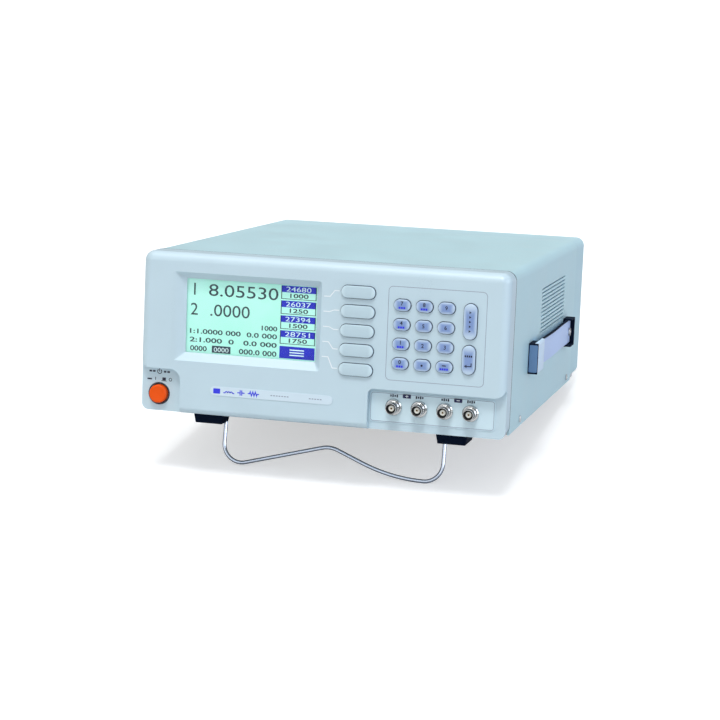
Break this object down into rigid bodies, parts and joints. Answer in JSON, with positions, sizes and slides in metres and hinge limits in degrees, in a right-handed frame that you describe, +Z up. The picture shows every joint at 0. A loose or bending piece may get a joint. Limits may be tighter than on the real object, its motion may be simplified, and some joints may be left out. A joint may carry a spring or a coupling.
{
  "type": "lcr meter",
  "caption": "Bench LCR meter in a painted steel case with a graphic display, soft keys, keypad, BNC test terminals, tilt bail and side strap handle.",
  "frame": {"origin": "centre of the case's flat underside, in the plane of the pan's lower face", "axes": "+X to the right as the user faces the front panel, +Y towards the rear panel, +Z up"},
  "size_m": [0.3297, 0.4051, 0.1913],
  "materials": {
    "bezel_plastic": "fine textured moulding",
    "painted_steel": "satin powder coat, pale cyan",
    "rear_plastic": "fine textured moulding",
    "plated_steel": "zinc plated sheet",
    "clear_window": "clear acrylic",
    "display": "backlit liquid crystal",
    "dark_metal": "blackened frame",
    "label": "printed film",
    "soft_key": "pale keycap",
    "keypad_key": "blue-grey keycap",
    "circuit_board": "solder mask",
    "black_plastic": "moulded",
    "orange_plastic": "semi gloss",
    "zinc_steel": "zinc plated",
    "nickel": "nickel plate",
    "white_plastic": "insulator",
    "brass": "gold or brass plate",
    "core_steel": "varnished laminations",
    "tape": "yellow tape",
    "aluminium": "extruded",
    "sleeve": "shrink sleeve",
    "foot_rubber": "dark navy",
    "bail_wire": "polished wire",
    "strap_vinyl": "soft vinyl"
  },
  "bodies": {
    "case": {"front_bezel": "bezel_plastic", "top_cover": "painted_steel", "bottom_pan": "plated_steel", "rear_frame": "rear_plastic", "rear_panel": "plated_steel", "front_subpanel": "plated_steel", "lcd_window": "clear_window", "lcd_glass": "display", "lcd_module": "dark_metal", "label_strip": "label", "terminal_plate": "label", "key_board": "circuit_board", "tact_switches": "black_plastic", "power_switch": "black_plastic", "bnc_shells": "nickel", "bnc_insulators": "white_plastic", "bnc_contacts": "brass", "bnc_nuts": "nickel", "main_board": "circuit_board", "analog_shield": "nickel", "transformer_core": "core_steel", "transformer_coil": "tape", "heatsink": "aluminium", "capacitors": "sleeve", "mains_inlet": "black_plastic", "serial_port": "nickel", "port_screws": "zinc_steel", "earth_post": "brass", "front_feet": "foot_rubber", "rear_feet": "foot_rubber", "handle_strap": "strap_vinyl", "handle_brackets": "foot_rubber", "handle_screws": "zinc_steel", "cover_screws": "zinc_steel", "foot_screws": "zinc_steel", "ribbon_cable": "black_plastic"},
    "softkey_1": {"softkey_1": "soft_key"},
    "softkey_2": {"softkey_2": "soft_key"},
    "softkey_3": {"softkey_3": "soft_key"},
    "softkey_4": {"softkey_4": "soft_key"},
    "softkey_5": {"softkey_5": "soft_key"},
    "key_0": {"key_0": "keypad_key"},
    "key_1": {"key_1": "keypad_key"},
    "key_2": {"key_2": "keypad_key"},
    "key_3": {"key_3": "keypad_key"},
    "key_4": {"key_4": "keypad_key"},
    "key_5": {"key_5": "keypad_key"},
    "key_6": {"key_6": "keypad_key"},
    "key_7": {"key_7": "keypad_key"},
    "key_8": {"key_8": "keypad_key"},
    "key_9": {"key_9": "keypad_key"},
    "key_point": {"key_point": "keypad_key"},
    "key_sign": {"key_sign": "keypad_key"},
    "start_key": {"start_key": "keypad_key"},
    "enter_key": {"enter_key": "keypad_key"},
    "power_button": {"power_button": "orange_plastic", "power_rod": "zinc_steel"},
    "bail": {"tilt_bail": "bail_wire"},
    "fuse_drawer": {"fuse_drawer": "black_plastic"}
  },
  "joints": [
    {"name": "softkey_1_press", "type": "slide", "parent": "case", "child": "softkey_1", "axis": [0, 1, 0], "range_m": [0, 0.0015], "stiffness_N_per_m": 200},
    {"name": "softkey_2_press", "type": "slide", "parent": "case", "child": "softkey_2", "axis": [0, 1, 0], "range_m": [0, 0.0015], "stiffness_N_per_m": 200},
    {"name": "softkey_3_press", "type": "slide", "parent": "case", "child": "softkey_3", "axis": [0, 1, 0], "range_m": [0, 0.0015], "stiffness_N_per_m": 200},
    {"name": "softkey_4_press", "type": "slide", "parent": "case", "child": "softkey_4", "axis": [0, 1, 0], "range_m": [0, 0.0015], "stiffness_N_per_m": 200},
    {"name": "softkey_5_press", "type": "slide", "parent": "case", "child": "softkey_5", "axis": [0, 1, 0], "range_m": [0, 0.0015], "stiffness_N_per_m": 200},
    {"name": "key_0_press", "type": "slide", "parent": "case", "child": "key_0", "axis": [0, 1, 0], "range_m": [0, 0.0015], "stiffness_N_per_m": 200},
    {"name": "key_1_press", "type": "slide", "parent": "case", "child": "key_1", "axis": [0, 1, 0], "range_m": [0, 0.0015], "stiffness_N_per_m": 200},
    {"name": "key_2_press", "type": "slide", "parent": "case", "child": "key_2", "axis": [0, 1, 0], "range_m": [0, 0.0015], "stiffness_N_per_m": 200},
    {"name": "key_3_press", "type": "slide", "parent": "case", "child": "key_3", "axis": [0, 1, 0], "range_m": [0, 0.0015], "stiffness_N_per_m": 200},
    {"name": "key_4_press", "type": "slide", "parent": "case", "child": "key_4", "axis": [0, 1, 0], "range_m": [0, 0.0015], "stiffness_N_per_m": 200},
    {"name": "key_5_press", "type": "slide", "parent": "case", "child": "key_5", "axis": [0, 1, 0], "range_m": [0, 0.0015], "stiffness_N_per_m": 200},
    {"name": "key_6_press", "type": "slide", "parent": "case", "child": "key_6", "axis": [0, 1, 0], "range_m": [0, 0.0015], "stiffness_N_per_m": 200},
    {"name": "key_7_press", "type": "slide", "parent": "case", "child": "key_7", "axis": [0, 1, 0], "range_m": [0, 0.0015], "stiffness_N_per_m": 200},
    {"name": "key_8_press", "type": "slide", "parent": "case", "child": "key_8", "axis": [0, 1, 0], "range_m": [0, 0.0015], "stiffness_N_per_m": 200},
    {"name": "key_9_press", "type": "slide", "parent": "case", "child": "key_9", "axis": [0, 1, 0], "range_m": [0, 0.0015], "stiffness_N_per_m": 200},
    {"name": "key_point_press", "type": "slide", "parent": "case", "child": "key_point", "axis": [0, 1, 0], "range_m": [0, 0.0015], "stiffness_N_per_m": 200},
    {"name": "key_sign_press", "type": "slide", "parent": "case", "child": "key_sign", "axis": [0, 1, 0], "range_m": [0, 0.0015], "stiffness_N_per_m": 200},
    {"name": "start_key_press", "type": "slide", "parent": "case", "child": "start_key", "axis": [0, 1, 0], "range_m": [0, 0.0015], "stiffness_N_per_m": 200},
    {"name": "enter_key_press", "type": "slide", "parent": "case", "child": "enter_key", "axis": [0, 1, 0], "range_m": [0, 0.0015], "stiffness_N_per_m": 200},
    {"name": "power_button_press", "type": "slide", "parent": "case", "child": "power_button", "axis": [0, 1, 0], "range_m": [0, 0.0035], "stiffness_N_per_m": 150},
    {"name": "bail_fold", "type": "hinge", "parent": "case", "child": "bail", "pos_m": [0, -0.143, -0.0095], "axis": [1, 0, 0], "range_deg": [0, 99]},
    {"name": "fuse_drawer_pull", "type": "slide", "parent": "case", "child": "fuse_drawer", "axis": [0, 1, 0], "range_m": [0, 0.018]}
  ]
}
